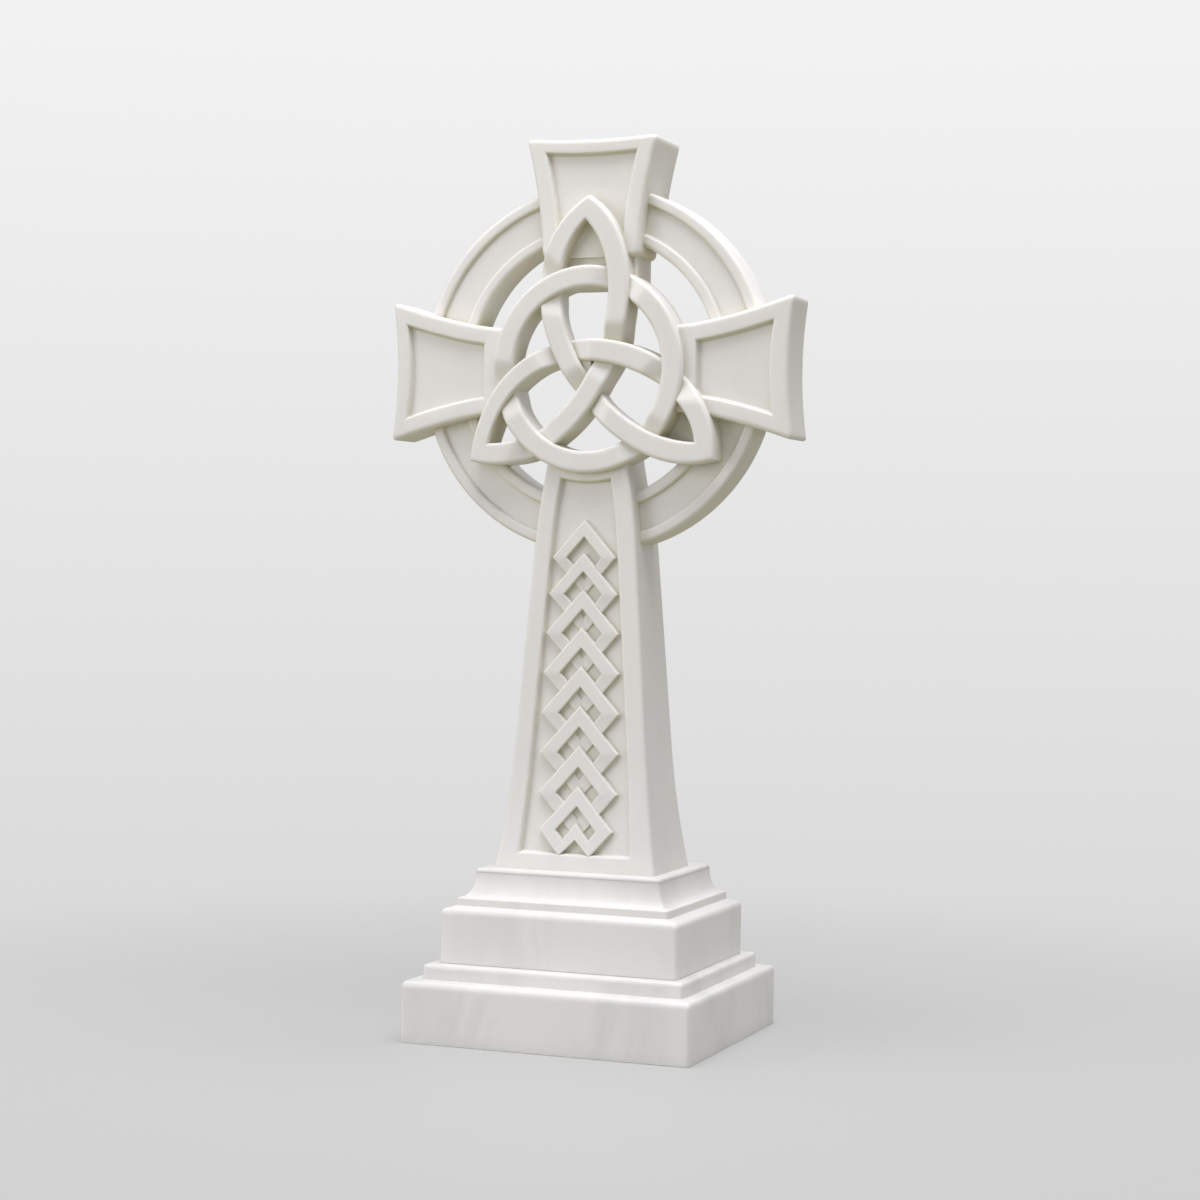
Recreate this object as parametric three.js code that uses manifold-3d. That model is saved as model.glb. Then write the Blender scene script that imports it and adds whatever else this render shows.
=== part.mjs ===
// A Celtic cross headstone in white marble: a wheel cross with an openwork knot at its crossing,
// standing on an upper plinth with a hollow-moulded cap and a lower plinth with a step on top.
// Millimetres, +Z up, the front faces -Y, and the origin is the middle of the lower plinth's underside.

import * as THREE from 'three';
import * as BufferGeometryUtils from 'three/addons/utils/BufferGeometryUtils.js';
import Module from 'manifold-3d';

const wasm = await Module();
wasm.setup();

// Lower plinth: a block with a step on top of it
const lowerWidth = 402;
const lowerDepth = 360;
const lowerHeight = 81;
const stepInsetX = 19;
const stepInsetY = 26;
const stepHeight = 20;
const stepEdge = 3;

// Upper plinth: a block, a slope, a fillet and a hollow moulding up to a flat cap
const upperWidth = 333;
const upperDepth = 268;
const upperHeight = 71.6;
const slopeInsetX = 17.5;
const slopeInsetY = 13.6;
const slopeRise = 4.2;
const filletHeight = 10.5;
const hollowInset = 18.5;
const hollowHeight = 33.4;
const capEdge = 5;

const plinthCorner = 4;
const plinthEdge = 6;

// Cross: its middle lies this far in front of the plinths' middle, and these are its heights above its foot
const crossForward = 9;
const hubRise = 665.3;
const topRise = 974.3;
const armEdge = 4;

// Shaft: half sizes at the foot and at the neck, with a flare at the foot and a waist under the knot
const shaftFootHalf = 106;
const shaftTaper = 0.0785;
const footFlare = 8;
const footFlareHeight = 170;
const waistDraw = 7;
const waistHeight = 110;
const shaftNeckDepth = 42.5;
const shaftDepthTaper = 0.0286;
const depthFlare = 12;
const depthFlareHeight = 150;

// Arms: how far their faces stand from the cross's middle, then the outlines of the side arms and
// of the top arm
const armFront = 44;
const sideBack = 23;
const topBack = 50;
const sideArmStart = 123.5;
const sideReach = 285;
const leftArmExtra = 2.5;
const sideEndHalf = 95.5;
const sideRootHalf = 57.5;
const sideFlare = 1.5;
const sideSag = 7.5;
const topEndHalf = 93.3;
const topRootHalf = 68.7;
const topFlare = 1.7;
const topSag = 4;
const topArmStart = 149;

// Ring, with a band sunk between two borders. Its middle lies a little off the hub's.
const ringMiddle = [-3, 2];
const ringInner = 176.5;
const ringOuter = 245;
const ringBorder = 15.5;
const ringHalfDepth = 26;
const bandSink = 6;
const bandSlope = 2;
const ringEdge = 4;

// Neck of the top arm, inside the ring, its front level with the floor of the arm's panel
const neckHalf = 62;
const neckLap = 5;

// Sunk panels and their borders
const panelSink = 8;
const sideBorder = 23.5;
const leftEndBorder = 22;
const rightEndBorder = 28;
const sidePanelStart = 151;
const topBorder = 23;
const topEndBorder = 20;
const shaftBorder = 25;
const shaftFootBorder = 21.5;
const panelArcGap = 10.5;
const shaftPanelShift = -1.3;

// Knot: the circle strand, a little narrower than tall, and the three arched strands, whose ends
// meet in mitred points. Each point is measured from the middle of the hub, x across and z up.
// Both edges of an arched strand are cubic curves from tip to tip, drawn out towards two pulls each.
const circleWide = 119;
const circleTall = 123.3;
const circleHalf = 14.6;
const strandFront = 52;
const circleDepth = 42;
const strandDip = 10;
const circleDip = 4.5;
const dipLevel = 8;
const dipReach = 42;
const strandEdge = 4;
// The shaft's top and the neck's foot end this far out of sight behind the circle strand
const hiddenLap = 14;
const tips = {
  top: { outer: [0, 230], inner: [-4, 197] },
  left: { outer: [-167, -122], inner: [-140, -98] },
  right: { outer: [180, -120], inner: [152, -97] },
};
const pulls = {
  topToLeft: { outer: [[131, 149], [26, -170]], inner: [[75, 116], [4, -101]] },
  leftToRight: { outer: [[-137, 128], [191, 59]], inner: [[-91, 84], [144, 5]] },
  rightToTop: { outer: [[27, -172], [-179, 121]], inner: [[11, -95], [-98, 104]] },
};
const strandDepths = { topToLeft: 44, leftToRight: 48, rightToTop: 26 };
const depthChange = 40;

// The eye of the right tip isn't cut through: stone fills it behind the strands
const eyeFloorFront = 20;
const eyeFloor = [[98, -50], [164, -50], [170, -80], [150, -108], [104, -118]];

// Stone also fills the small gap between the three strands, behind their fronts
const webMiddle = [-10, 7];
const webHalf = 15;
const webFront = 30;
const webBack = 12;

// Lozenge chain on the shaft: each lozenge laps over the one above it
const lozengeCount = 8;
const lozengeTop = 465.3;
const chainFootLap = 2.3;
const lozengeSpread = 1.07;
const lozengeHalf = 55.5;
const lozengeFirstHalf = 44.5;
const lozengeLastHalf = 51.5;
const lozengeSlope = 1.13;
const stripShare = 0.445;
const lozengeDrop = 7;
const lastFootHalf = 21.5;

// How finely the curves are cut
const ringSides = 72;
const strandSteps = 42;
const cornerSteps = 3;

const marble = new THREE.MeshStandardMaterial({ color: 0xd9d4cd, roughness: 0.35, metalness: 0.0 });

// Heights that the pieces share
const lowerTop = lowerHeight + stepHeight;
const upperBlockTop = lowerTop + upperHeight;
const filletFoot = upperBlockTop + slopeRise;
const filletTop = filletFoot + filletHeight;
const hollowTop = filletTop + hollowHeight;
const capTop = hollowTop + capEdge;
const hubZ = capTop + hubRise;
const topZ = capTop + topRise;
const backmost = 2 * Math.max(sideBack, topBack);

// Solids from meshes and back

function signedVolume(position, index) {
  const [a, b, c] = [new THREE.Vector3(), new THREE.Vector3(), new THREE.Vector3()];
  let sum = 0;
  for (let i = 0; i < index.length; i += 3) {
    a.fromBufferAttribute(position, index[i]);
    b.fromBufferAttribute(position, index[i + 1]);
    c.fromBufferAttribute(position, index[i + 2]);
    sum += a.dot(b.cross(c));
  }
  return sum;
}

function toSolid(geometry) {
  const bare = geometry.clone();
  bare.deleteAttribute('normal');
  bare.deleteAttribute('uv');
  const merged = BufferGeometryUtils.mergeVertices(bare, 1e-4);
  const triVerts = Uint32Array.from(merged.index.array);
  if (signedVolume(merged.attributes.position, triVerts) < 0) {
    triVerts.reverse();
  }
  const vertProperties = Float32Array.from(merged.attributes.position.array);
  return new wasm.Manifold(new wasm.Mesh({ numProp: 3, vertProperties, triVerts }));
}

function toMesh(name, solid) {
  const mesh = solid.getMesh();
  const geometry = new THREE.BufferGeometry();
  geometry.setAttribute('position', new THREE.BufferAttribute(Float32Array.from(mesh.vertProperties), 3));
  geometry.setIndex(Array.from(mesh.triVerts));
  const flat = geometry.toNonIndexed();
  flat.computeVertexNormals();
  const result = new THREE.Mesh(flat, marble.clone());
  result.name = name;
  return result;
}

// A solid through rings of points, all with the same count. Open ones are capped by fans.
function loft(rings, closed = false) {
  const count = rings[0].length;
  const last = closed ? rings.length : rings.length - 1;
  const index = [];
  for (let r = 0; r < last; r++) {
    for (let i = 0; i < count; i++) {
      const j = (i + 1) % count;
      const here = r * count;
      const next = ((r + 1) % rings.length) * count;
      index.push(here + i, here + j, next + j, here + i, next + j, next + i);
    }
  }
  if (!closed) {
    const end = last * count;
    for (let i = 1; i < count - 1; i++) {
      index.push(0, i + 1, i, end, end + i, end + i + 1);
    }
  }
  const geometry = new THREE.BufferGeometry();
  geometry.setAttribute('position', new THREE.Float32BufferAttribute(rings.flat(2), 3));
  geometry.setIndex(index);
  return toSolid(geometry);
}

// A slab of an outline in the XZ plane, from yFront back to yBack, its edges cut off by edge
function slab(outline, yFront, yBack, edge = 0) {
  const shape = new THREE.Shape(outline.map(([x, z]) => new THREE.Vector2(x, z)));
  const geometry = new THREE.ExtrudeGeometry(shape, {
    depth: yBack - yFront - 2 * edge,
    bevelEnabled: edge > 0,
    bevelThickness: edge,
    bevelSize: edge,
    bevelOffset: -edge,
    bevelSegments: 1,
    steps: 1,
  });
  geometry.rotateX(Math.PI / 2);
  geometry.translate(0, yBack - edge, 0);
  return toSolid(geometry);
}

function disc(radius, yFront, yBack) {
  const geometry = new THREE.CylinderGeometry(radius, radius, yBack - yFront, ringSides);
  geometry.translate(0, (yFront + yBack) / 2, 0);
  return toSolid(geometry);
}

const spread = (count, from, to) =>
  Array.from({ length: count + 1 }, (_, i) => from + ((to - from) * i) / count);
const mirrorX = (points) => points.map(([x, z]) => [-x, z]).reverse();

// Plinths

// A rounded rectangle at height z, its corners rounded by radius
function plinthRing(z, halfX, halfY, radius) {
  const ring = [];
  const corners = [[1, 1, 0], [-1, 1, 1], [-1, -1, 2], [1, -1, 3]];
  for (const [sx, sy, quarter] of corners) {
    for (const turn of spread(cornerSteps, 0, Math.PI / 2)) {
      const angle = turn + (quarter * Math.PI) / 2;
      const x = sx * (halfX - radius) + radius * Math.cos(angle);
      const y = sy * (halfY - radius) + radius * Math.sin(angle);
      ring.push([x, y, z]);
    }
  }
  return ring;
}

// A stack of rounded rectangles: each level is [height, inset along X, inset along Y]
function plinth(width, depth, levels) {
  return loft(levels.map(([z, insetX, insetY]) =>
    plinthRing(z, width / 2 - insetX, depth / 2 - insetY, plinthCorner)));
}

// The two levels of an edge that is rounded by size under the height z
function roundedEdge(z, insetX, insetY, size) {
  const [near, far] = [size * (1 - Math.SQRT1_2), size];
  return [
    [z - far, insetX, insetY],
    [z - near, insetX + near, insetY + near],
    [z, insetX + far, insetY + far],
  ];
}

function lowerPlinth() {
  return plinth(lowerWidth, lowerDepth, [
    [0, 0, 0],
    ...roundedEdge(lowerHeight, 0, 0, plinthEdge),
    [lowerHeight + 0.5, stepInsetX, stepInsetY],
    ...roundedEdge(lowerTop, stepInsetX, stepInsetY, stepEdge),
  ]);
}

function upperPlinth() {
  const hollow = spread(5, 0, Math.PI / 2).map((angle) => {
    const inset = stepEdge / 2 + (hollowInset - stepEdge / 2) * Math.sin(angle);
    return [filletTop + hollowHeight * (1 - Math.cos(angle)), slopeInsetX + inset, slopeInsetY + inset];
  });
  const [capX, capY] = [slopeInsetX + hollowInset, slopeInsetY + hollowInset];
  return plinth(upperWidth, upperDepth, [
    [lowerTop, 0, 0],
    ...roundedEdge(upperBlockTop, 0, 0, plinthEdge),
    [filletFoot, slopeInsetX, slopeInsetY],
    [filletTop - 1, slopeInsetX, slopeInsetY],
    ...hollow,
    [capTop - capEdge / 3, capX + capEdge / 4, capY + capEdge / 4],
    [capTop, capX + capEdge, capY + capEdge],
  ]);
}

// Shaft

const flareShare = (rise, height) => Math.min(1, Math.max(0, 1 - rise / height)) ** 2;
const neckRise = hubRise - circleTall;

// The straight taper with the waist, which the panel's borders follow
function taperHalf(rise) {
  return shaftFootHalf - shaftTaper * rise - waistDraw * flareShare(neckRise - rise, waistHeight);
}

const shaftHalf = (rise) => taperHalf(rise) + footFlare * flareShare(rise, footFlareHeight);

function shaftHalfDepth(rise) {
  const flare = depthFlare * flareShare(rise, depthFlareHeight);
  return shaftNeckDepth + shaftDepthTaper * (neckRise - rise) + flare;
}

// A rectangle with its corners cut off, across the shaft at a rise above its foot
function shaftRing(rise) {
  const [x, y, e] = [shaftHalf(rise), shaftHalfDepth(rise), armEdge];
  const corners = [[x, -y + e], [x, y - e], [x - e, y], [-x + e, y],
    [-x, y - e], [-x, -y + e], [-x + e, -y], [x - e, -y]];
  return corners.map(([px, py]) => [px, py, rise - hubRise]);
}

const shaftRises = [...spread(5, 0, depthFlareHeight), ...spread(6, 190, neckRise - waistHeight),
  ...spread(5, neckRise - waistHeight + 22, neckRise)];

function shaft() {
  return loft([...shaftRises, neckRise + hiddenLap].map(shaftRing));
}

// The space that the shaft's panel is cut out of, under an arc round the knot's circle
function shaftPanel() {
  const rings = shaftRises.filter((rise) => rise > shaftFootBorder).concat(shaftFootBorder)
    .sort((a, b) => a - b)
    .map((rise) => {
      const half = taperHalf(rise) - shaftBorder;
      const [left, right] = [shaftPanelShift - half, shaftPanelShift + half];
      const [front, floor] = [-shaftHalfDepth(rise) - panelSink, -shaftHalfDepth(rise) + panelSink];
      const z = rise - hubRise;
      return [[left, front, z], [right, front, z], [right, floor, z], [left, floor, z]];
    });
  const arc = disc(circleTall + circleHalf + panelArcGap, -2 * armFront, armFront);
  return loft(rings).subtract(arc);
}

// Arms

const sideHalf = (reach) => {
  const share = Math.max(0, (reach - sideArmStart) / (sideReach - sideArmStart));
  return sideRootHalf + (sideEndHalf - sideRootHalf) * share ** sideFlare;
};
const topReach = topZ - hubZ;
const topHalf = (reach) => {
  const share = Math.max(0, (reach - topArmStart) / (topReach - topArmStart));
  return topRootHalf + (topEndHalf - topRootHalf) * share ** topFlare;
};

// Outline of an arm that runs along +X: its flared sides, drawn in by inset, and its end,
// which is drawn in by endInset and sags in the middle, less where it is narrower
function armOutline(half, start, reach, sag, inset = 0, endInset = 0) {
  const end = reach - endInset;
  const side = spread(7, start, end).map((x) => [x, half(x) - inset]);
  const endHalf = half(end) - inset;
  const ownSag = (sag * endHalf) / half(reach);
  const sagged = spread(6, endHalf, -endHalf).slice(1, -1)
    .map((z) => [end - ownSag * (1 - (z / endHalf) ** 2), z]);
  const back = side.map(([x, z]) => [x, -z]).reverse();
  return [...side, ...sagged, ...back].reverse();
}

const turnedUp = (outline) => outline.map(([x, z]) => [-z, x]);

function arms() {
  const side = (reach) => armOutline(sideHalf, circleWide, reach, sideSag);
  const sidePanel = (reach, endBorder) =>
    armOutline(sideHalf, sidePanelStart, reach, sideSag, sideBorder, endBorder);
  const leftReach = sideReach + leftArmExtra;
  const top = armOutline(topHalf, topArmStart, topReach, topSag);
  const topPanel = armOutline(topHalf, topArmStart - 1, topReach, topSag, topBorder, topEndBorder);
  const [neckLow, neckHigh] = [circleTall - hiddenLap, topArmStart + neckLap];
  const neck = [[-neckHalf, neckLow], [neckHalf, neckLow], [neckHalf, neckHigh], [-neckHalf, neckHigh]];
  const panelSlab = (outline) => slab(outline, -armFront - panelSink, -armFront + panelSink);
  return slab(side(sideReach), -armFront, sideBack, armEdge)
    .add(slab(mirrorX(side(leftReach)), -armFront, sideBack, armEdge))
    .add(slab(turnedUp(top), -armFront, topBack, armEdge))
    .subtract(panelSlab(sidePanel(sideReach, rightEndBorder)))
    .subtract(panelSlab(mirrorX(sidePanel(leftReach, leftEndBorder))))
    .subtract(panelSlab(turnedUp(topPanel)))
    .add(slab(neck, -armFront + panelSink, ringHalfDepth));
}

// Ring

function ring() {
  const [bandInner, bandOuter] = [ringInner + ringBorder, ringOuter - ringBorder];
  const [front, floor] = [-ringHalfDepth, -ringHalfDepth + bandSink];
  const section = [
    [ringInner, front + ringEdge], [ringInner + ringEdge, front], [bandInner, front],
    [bandInner + bandSlope, floor], [bandOuter - bandSlope, floor], [bandOuter, front],
    [ringOuter - ringEdge, front], [ringOuter, front + ringEdge],
    [ringOuter, ringHalfDepth], [ringInner, ringHalfDepth],
  ];
  const rings = spread(ringSides, 0, 2 * Math.PI).slice(0, -1).map((angle) =>
    section.map(([radius, y]) => [radius * Math.cos(angle), y, radius * Math.sin(angle)]));
  return loft(rings, true).translate([ringMiddle[0], 0, ringMiddle[1]]);
}

// Knot

const onPlane = ([x, z]) => new THREE.Vector2(x, z);
const pulledCurve = (from, pull, to) =>
  new THREE.CubicBezierCurve(onPlane(from), onPlane(pull[0]), onPlane(pull[1]), onPlane(to));

function archedStrand(from, to, name) {
  const outer = pulledCurve(from.outer, pulls[name].outer, to.outer);
  const inner = pulledCurve(from.inner, pulls[name].inner, to.inner);
  return { outer, inner, length: (outer.getLength() + inner.getLength()) / 2, depth: strandDepths[name] };
}

const arches = [
  archedStrand(tips.top, tips.left, 'topToLeft'),
  archedStrand(tips.left, tips.right, 'leftToRight'),
  archedStrand(tips.right, tips.top, 'rightToTop'),
];

// Both edges of a strand at share t of its length
const strandEdges = (strand, t) =>
  [strand.outer, strand.inner].map((edge) => edge.getPointAt(t).toArray());

function strandMiddle(strand, t) {
  const [outer, inner] = strandEdges(strand, t);
  return [(outer[0] + inner[0]) / 2, (outer[1] + inner[1]) / 2];
}

// Shares along a strand where it crosses the circle strand, in order
function circleCrossings(strand) {
  const shares = spread(200, 0.02, 0.98);
  const sides = shares.map((t) => {
    const [x, z] = strandMiddle(strand, t);
    return Math.sign(Math.hypot(x / circleWide, z / circleTall) - 1);
  });
  return shares.filter((t, i) => i > 0 && sides[i] !== sides[i - 1]);
}

// The share along one strand where it crosses another, away from their ends
function strandCrossing(strand, other) {
  const shares = spread(100, 0.2, 0.8);
  const middles = shares.map((t) => strandMiddle(other, t));
  const gaps = shares.map((t) => {
    const [x, z] = strandMiddle(strand, t);
    return Math.min(...middles.map(([u, v]) => Math.hypot(x - u, z - v)));
  });
  return shares[gaps.indexOf(Math.min(...gaps))];
}

// Depth of an arched strand at share t: its own, and at a tip halfway to that of the strand it meets
function strandDepth(index, t) {
  const [own, after, before] = [0, 1, 2].map((step) => arches[(index + step) % 3].depth);
  const nearness = (share) => Math.max(0, 1 - (share * arches[index].length) / depthChange) / 2;
  return own + (before - own) * nearness(t) + (after - own) * nearness(1 - t);
}

// How far a strand of this length is sunk at a share of it: it dips only where it passes under
// another strand. Each dip is a share and how deep it goes.
function weave(dips, share, length) {
  const sinks = dips.map(([dip, deep]) => {
    const away = (Math.abs(share - dip) * length - dipLevel) / (dipReach - dipLevel);
    const s = Math.min(1, Math.max(0, away));
    return deep * (1 - s * s * (3 - 2 * s));
  });
  return Math.max(...sinks);
}

// The section of a strand between its two edges, sunk where it passes under
function strandRing(outer, inner, sink, depth) {
  const front = -strandFront + sink;
  const back = front + depth;
  const [dx, dz] = [inner[0] - outer[0], inner[1] - outer[1]];
  const cut = strandEdge / Math.hypot(dx, dz);
  const at = (share, y) => [outer[0] + dx * share, y, outer[1] + dz * share];
  return [at(0, back), at(0, front + strandEdge), at(cut, front), at(1 - cut, front),
    at(1, front + strandEdge), at(1, back)];
}

// Every arched strand goes over the circle, under one strand, over the other, and under the circle
function archedSolid(strand, index) {
  const under = arches[(index + 1) % 3];
  const dips = [[strandCrossing(strand, under), strandDip], [circleCrossings(strand)[1], circleDip]];
  const rings = spread(strandSteps, 0, 1).map((t) =>
    strandRing(...strandEdges(strand, t), weave(dips, t, strand.length), strandDepth(index, t)));
  return loft(rings);
}

// The circle passes under each arched strand where that strand first meets it
function circleSolid() {
  const round = 2 * Math.PI;
  const dips = arches.flatMap((strand) => {
    const [x, z] = strandMiddle(strand, circleCrossings(strand)[0]);
    const turn = Math.atan2(z / circleTall, x / circleWide) / round;
    return [turn - 1, turn, turn + 1].map((share) => [share, circleDip]);
  });
  const edge = (turn, out) =>
    [(circleWide + out) * Math.cos(round * turn), (circleTall + out) * Math.sin(round * turn)];
  const rings = spread(ringSides, 0, 1).slice(0, -1).map((turn) => {
    const sink = weave(dips, turn, round * circleTall);
    return strandRing(edge(turn, circleHalf), edge(turn, -circleHalf), sink, circleDepth);
  });
  return loft(rings, true);
}

function knot() {
  const web = disc(webHalf, -webFront, -webBack).translate([webMiddle[0], 0, webMiddle[1]]);
  return arches.map(archedSolid).reduce((sum, strand) => sum.add(strand), circleSolid().add(web));
}

// Lozenge chain

// A raised strip on the shaft's panel: an outline of [x, rise, drop below the shaft's face]
function strip(outline) {
  const shape = outline.map(([x, rise]) => new THREE.Vector2(x, rise));
  const faces = THREE.ShapeUtils.triangulateShape(shape, []);
  const count = outline.length;
  const top = outline.map(([x, rise, drop]) => [x, -shaftHalfDepth(rise) + drop, rise - hubRise]);
  const bottom = outline.map(([x, rise]) => [x, -shaftHalfDepth(rise) + panelSink + 2, rise - hubRise]);
  const index = faces.flatMap(([a, b, c]) => [a, b, c, count + c, count + b, count + a]);
  for (let i = 0; i < count; i++) {
    const j = (i + 1) % count;
    index.push(i, count + i, count + j, i, count + j, j);
  }
  const geometry = new THREE.BufferGeometry();
  geometry.setAttribute('position', new THREE.Float32BufferAttribute([...top, ...bottom].flat(), 3));
  geometry.setIndex(index);
  return toSolid(geometry);
}

// The apexes run down from the top one to the last one, whose feet lap onto the panel's border
const lastApex = shaftFootBorder - chainFootLap + lozengeSlope * (2 * lozengeLastHalf - lastFootHalf);

function lozengeSizes(k) {
  const early = Math.max(0, 1 - k / 5) ** 2;
  const isLast = k === lozengeCount - 1;
  const half = isLast ? lozengeLastHalf : lozengeHalf - (lozengeHalf - lozengeFirstHalf) * early;
  const run = (k / (lozengeCount - 1)) ** lozengeSpread;
  const apex = lozengeTop - (lozengeTop - lastApex) * run;
  const corner = apex - lozengeSlope * half;
  return { half, apex, corner, stripX: stripShare * half, stripZ: stripShare * half * lozengeSlope };
}

function lozengeChain() {
  const strips = [];
  for (let k = 0; k < lozengeCount; k++) {
    const { half, apex, corner, stripX, stripZ } = lozengeSizes(k);
    const nearHalf = half - stripX;
    strips.push(strip([
      [-half, corner, 0], [-nearHalf, corner, 0], [0, apex - stripZ, 0],
      [nearHalf, corner, 0], [half, corner, 0], [0, apex, 0],
    ]));
    if (k < lozengeCount - 1) {
      const tip = 2 * corner - apex;
      strips.push(strip([
        [-half, corner, 0], [0, tip, lozengeDrop], [half, corner, 0],
        [nearHalf, corner, 0], [0, tip + stripZ, lozengeDrop], [-nearHalf, corner, 0],
      ]));
    } else {
      const foot = corner - (half - lastFootHalf) * lozengeSlope;
      const notch = foot + lastFootHalf;
      const [heelX, heelZ] = [lastFootHalf * 0.86, foot + stripZ * 0.8];
      strips.push(strip([
        [-half, corner, 0], [-lastFootHalf, foot, 0], [0, notch, 0], [lastFootHalf, foot, 0],
        [half, corner, 0], [nearHalf, corner, 0], [heelX, heelZ, 0], [0, notch + stripZ * 0.87, 0],
        [-heelX, heelZ, 0], [-nearHalf, corner, 0],
      ]));
    }
  }
  return strips.reduce((sum, one) => sum.add(one)).translate([shaftPanelShift, 0, 0]);
}

// The whole cross is one carving. It is worked out round the hub, and the back of the arms is
// cut down to the ring's back inside the ring.
function cross() {
  const hubBack = disc(ringInner, ringHalfDepth, backmost).translate([ringMiddle[0], 0, ringMiddle[1]]);
  return shaft()
    .subtract(shaftPanel())
    .add(lozengeChain())
    .add(arms())
    .subtract(hubBack)
    .add(ring())
    .add(slab(eyeFloor, -eyeFloorFront, ringHalfDepth))
    .add(knot())
    .translate([0, -crossForward, hubZ]);
}

const headstone = new THREE.Group();
headstone.add(toMesh('lower_plinth', lowerPlinth()));
headstone.add(toMesh('upper_plinth', upperPlinth()));
headstone.add(toMesh('cross', cross()));

export default headstone;
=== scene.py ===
"""A Celtic cross headstone in white marble, on an upper and a lower plinth.

Shapes are worked out in millimetres, +Z up with the carved front facing -Y, and turned into metres
when a mesh is made. Depths are y values, so a smaller y lies nearer the viewer.
"""
import logging
import math
from dataclasses import dataclass, field
from enum import Enum
from typing import Callable, Sequence

import bpy
import numpy as np
from mathutils import Matrix, Vector


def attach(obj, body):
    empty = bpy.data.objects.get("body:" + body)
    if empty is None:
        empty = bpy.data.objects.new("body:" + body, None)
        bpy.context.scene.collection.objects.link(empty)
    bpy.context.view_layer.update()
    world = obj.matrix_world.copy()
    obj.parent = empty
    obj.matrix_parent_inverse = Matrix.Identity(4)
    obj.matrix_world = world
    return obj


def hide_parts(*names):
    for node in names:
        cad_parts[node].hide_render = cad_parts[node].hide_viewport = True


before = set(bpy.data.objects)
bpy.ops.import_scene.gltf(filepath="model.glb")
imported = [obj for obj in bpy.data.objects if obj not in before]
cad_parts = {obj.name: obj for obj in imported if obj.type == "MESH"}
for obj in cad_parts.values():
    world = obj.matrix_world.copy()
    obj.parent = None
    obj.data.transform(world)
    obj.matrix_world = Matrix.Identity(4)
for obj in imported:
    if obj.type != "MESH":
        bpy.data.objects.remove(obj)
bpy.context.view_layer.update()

LOG = logging.getLogger("headstone")
MM = 0.001
SHARP_ANGLE = math.radians(38.0)
HOLD = 1.2  # how far from a corner a point is kept on the flat, in roundings
CLEAR = 1.6  # how far a rounded edge's last level lies in from it, in roundings


class Direction(Enum):
    """Where an arm points, as the cosine and sine of its turn from +X."""

    RIGHT = (1.0, 0.0)
    LEFT = (-1.0, 0.0)
    UP = (0.0, 1.0)


class Join(Enum):
    """How one closed shape is joined to another."""

    ADD = "UNION"
    CUT = "DIFFERENCE"


@dataclass
class Shape:
    """A closed shape: points in millimetres, quads as an array and caps as lists of point numbers."""

    points: np.ndarray
    quads: np.ndarray
    caps: list[list[int]] = field(default_factory=list)

    def mesh(self, name: str) -> bpy.types.Mesh:
        """Make a Blender mesh in metres whose faces point outwards.

        Args:
            name: The mesh's name.

        Returns:
            The new mesh.
        """
        mesh = bpy.data.meshes.new(name)
        mesh.from_pydata((self.points * MM).tolist(), [], self.quads.tolist() + self.caps)
        mesh.update()
        if signed_volume(mesh) < 0.0:
            mesh.flip_normals()
        return mesh


def signed_volume(mesh: bpy.types.Mesh) -> float:
    """Volume inside a mesh, negative when its faces point inwards: a sixth of the sum of a . (b x c)."""
    mesh.calc_loop_triangles()
    corners = np.empty(len(mesh.loop_triangles) * 3, dtype=np.int32)
    mesh.loop_triangles.foreach_get("vertices", corners)
    co = np.empty(len(mesh.vertices) * 3)
    mesh.vertices.foreach_get("co", co)
    a, b, c = np.moveaxis(co.reshape(-1, 3)[corners.reshape(-1, 3)], 1, 0)
    return float(np.einsum("ij,ij->i", a, np.cross(b, c)).sum() / 6.0)


def grid_quads(rows: int, columns: int, close_rows: bool) -> np.ndarray:
    """Quads of a grid whose columns close on themselves, and whose rows may.

    Args:
        rows: How many rings there are.
        columns: How many points each ring has.
        close_rows: Whether the last ring joins the first.

    Returns:
        An array of four point numbers per quad.
    """
    r = np.arange(rows if close_rows else rows - 1)[:, None]
    c = np.arange(columns)[None, :]
    nr, nc = (r + 1) % rows, (c + 1) % columns
    quads = np.stack([r * columns + c, r * columns + nc, nr * columns + nc, nr * columns + c], axis=-1)
    return quads.reshape(-1, 4)


def ring_stack(rings: np.ndarray, close_rows: bool = False) -> Shape:
    """Closed shape through a stack of rings, capped at both ends unless it closes on itself.

    Args:
        rings: Array of rings, points and xyz.
        close_rows: Whether the last ring joins the first.

    Returns:
        The shape.
    """
    rows, columns, _ = rings.shape
    number = np.arange(rows * columns).reshape(rows, columns)
    ends = [] if close_rows else [number[0, ::-1].tolist(), number[-1].tolist()]
    return Shape(rings.reshape(-1, 3), grid_quads(rows, columns, close_rows), ends)


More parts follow.
